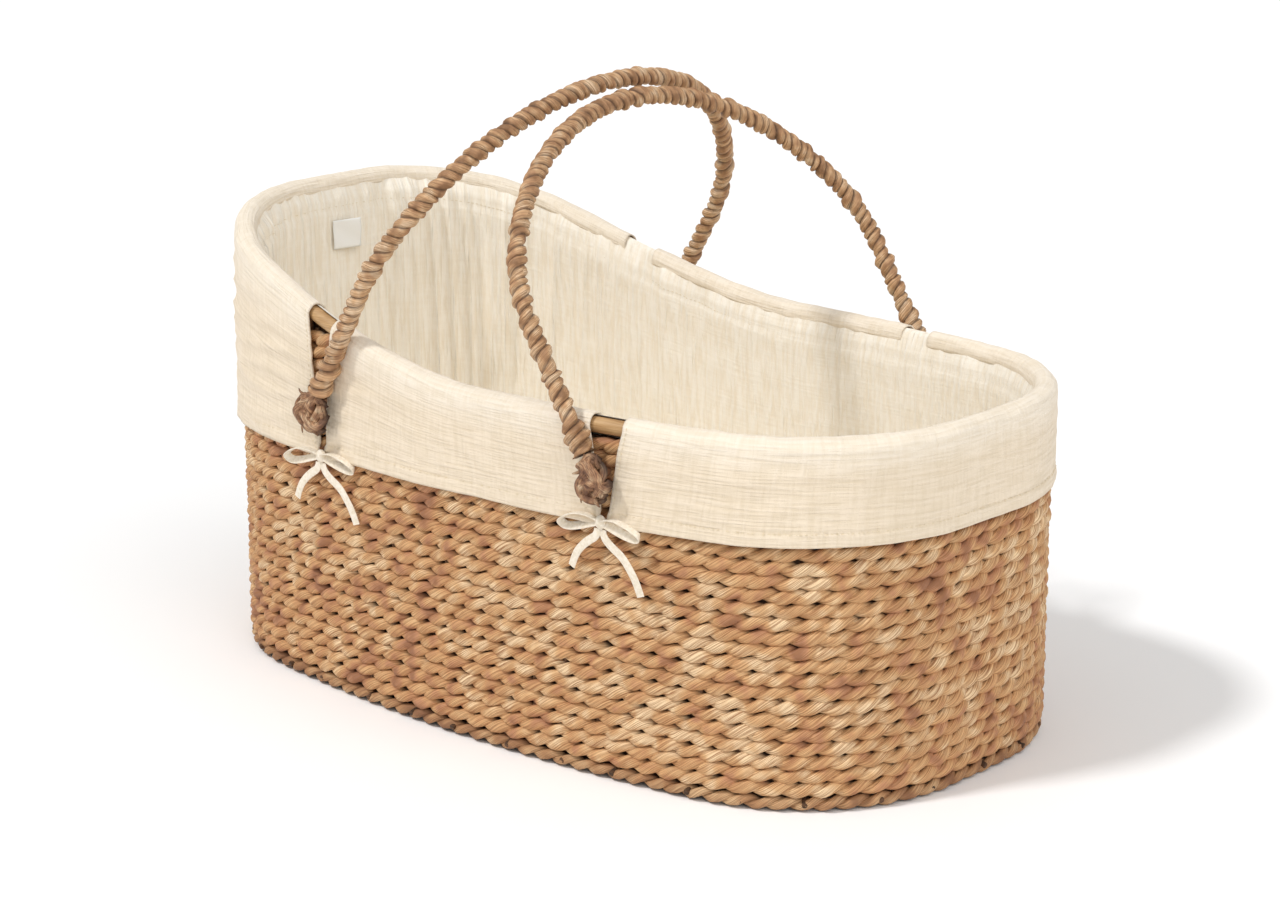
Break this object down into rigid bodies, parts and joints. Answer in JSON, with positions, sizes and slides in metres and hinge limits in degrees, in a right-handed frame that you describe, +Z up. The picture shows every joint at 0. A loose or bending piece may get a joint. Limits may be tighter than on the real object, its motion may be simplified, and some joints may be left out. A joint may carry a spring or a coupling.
{
  "type": "moses basket",
  "caption": "Oval woven baby basket with a raised head end, a tied fabric liner with a skirt, a mattress and carry handles that fold outwards.",
  "frame": {"origin": "on the ground, under the middle of the basket", "axes": "+Z up, +X towards the foot end, -X towards the raised head end, -Y the near long side"},
  "size_m": [0.847, 0.511, 0.5925],
  "materials": {
    "woven_leaf": "matte, twisted dried leaf strands",
    "base_leaf": "matte, rolled dried leaf strands",
    "cane": "smooth peeled cane",
    "rim_cane": "smooth peeled cane, satin",
    "handle_leaf": "matte, overlapping leaf strips with a slight shine",
    "knot_leaf": "matte, coiled darker leaf strips",
    "liner_muslin": "soft crinkled cotton double gauze",
    "tie_tape": "folded cotton tape",
    "label_satin": "smooth woven satin, blank",
    "mattress_cotton": "plain cotton",
    "mattress_foam": "open foam"
  },
  "bodies": {
    "basket": {"base_border": "base_leaf", "base_cane_1": "cane", "base_cane_2": "cane", "base_cane_3": "cane", "base_mat": "base_leaf", "base_runner_far": "cane", "base_runner_near": "cane", "inner_weave": "woven_leaf", "liner_floor": "liner_muslin", "liner_label": "label_satin", "liner_wall": "liner_muslin", "rim_hoop_far": "rim_cane", "rim_hoop_near": "rim_cane", "rim_roll_far": "liner_muslin", "rim_roll_foot": "liner_muslin", "rim_roll_head": "liner_muslin", "rim_roll_near": "liner_muslin", "skirt_far": "liner_muslin", "skirt_foot": "liner_muslin", "skirt_head": "liner_muslin", "skirt_near": "liner_muslin", "tie_foot_far_knot": "tie_tape", "tie_foot_far_loops": "tie_tape", "tie_foot_far_tails": "tie_tape", "tie_foot_near_knot": "tie_tape", "tie_foot_near_loops": "tie_tape", "tie_foot_near_tails": "tie_tape", "tie_head_far_knot": "tie_tape", "tie_head_far_loops": "tie_tape", "tie_head_far_tails": "tie_tape", "tie_head_near_knot": "tie_tape", "tie_head_near_loops": "tie_tape", "tie_head_near_tails": "tie_tape", "upright_stakes": "cane", "weave_band_01": "woven_leaf", "weave_band_02": "woven_leaf", "weave_band_03": "woven_leaf", "weave_band_04": "woven_leaf", "weave_band_05": "woven_leaf", "weave_band_06": "woven_leaf", "weave_band_07": "woven_leaf", "weave_band_08": "woven_leaf", "weave_band_09": "woven_leaf", "weave_band_10": "woven_leaf", "weave_band_11": "woven_leaf"},
    "foot_handle": {"foot_handle_core": "cane", "foot_handle_knot_far": "knot_leaf", "foot_handle_knot_near": "knot_leaf", "foot_handle_lashing_far": "knot_leaf", "foot_handle_lashing_near": "knot_leaf", "foot_handle_wrap": "handle_leaf"},
    "head_handle": {"head_handle_core": "cane", "head_handle_knot_far": "knot_leaf", "head_handle_knot_near": "knot_leaf", "head_handle_lashing_far": "knot_leaf", "head_handle_lashing_near": "knot_leaf", "head_handle_wrap": "handle_leaf"},
    "mattress": {"mattress_core": "mattress_foam", "mattress_cover": "mattress_cotton"}
  },
  "joints": [
    {"name": "foot_handle_fold", "type": "hinge", "parent": "basket", "child": "foot_handle", "pos_m": [0.178, 0, 0.285], "axis": [0, 1, 0], "range_deg": [0, 115]},
    {"name": "head_handle_fold", "type": "hinge", "parent": "basket", "child": "head_handle", "pos_m": [-0.178, 0, 0.285], "axis": [0, -1, 0], "range_deg": [0, 115]},
    {"name": "mattress_lift", "type": "slide", "parent": "basket", "child": "mattress", "axis": [0, 0, 1], "range_m": [0, 0.34]}
  ]
}
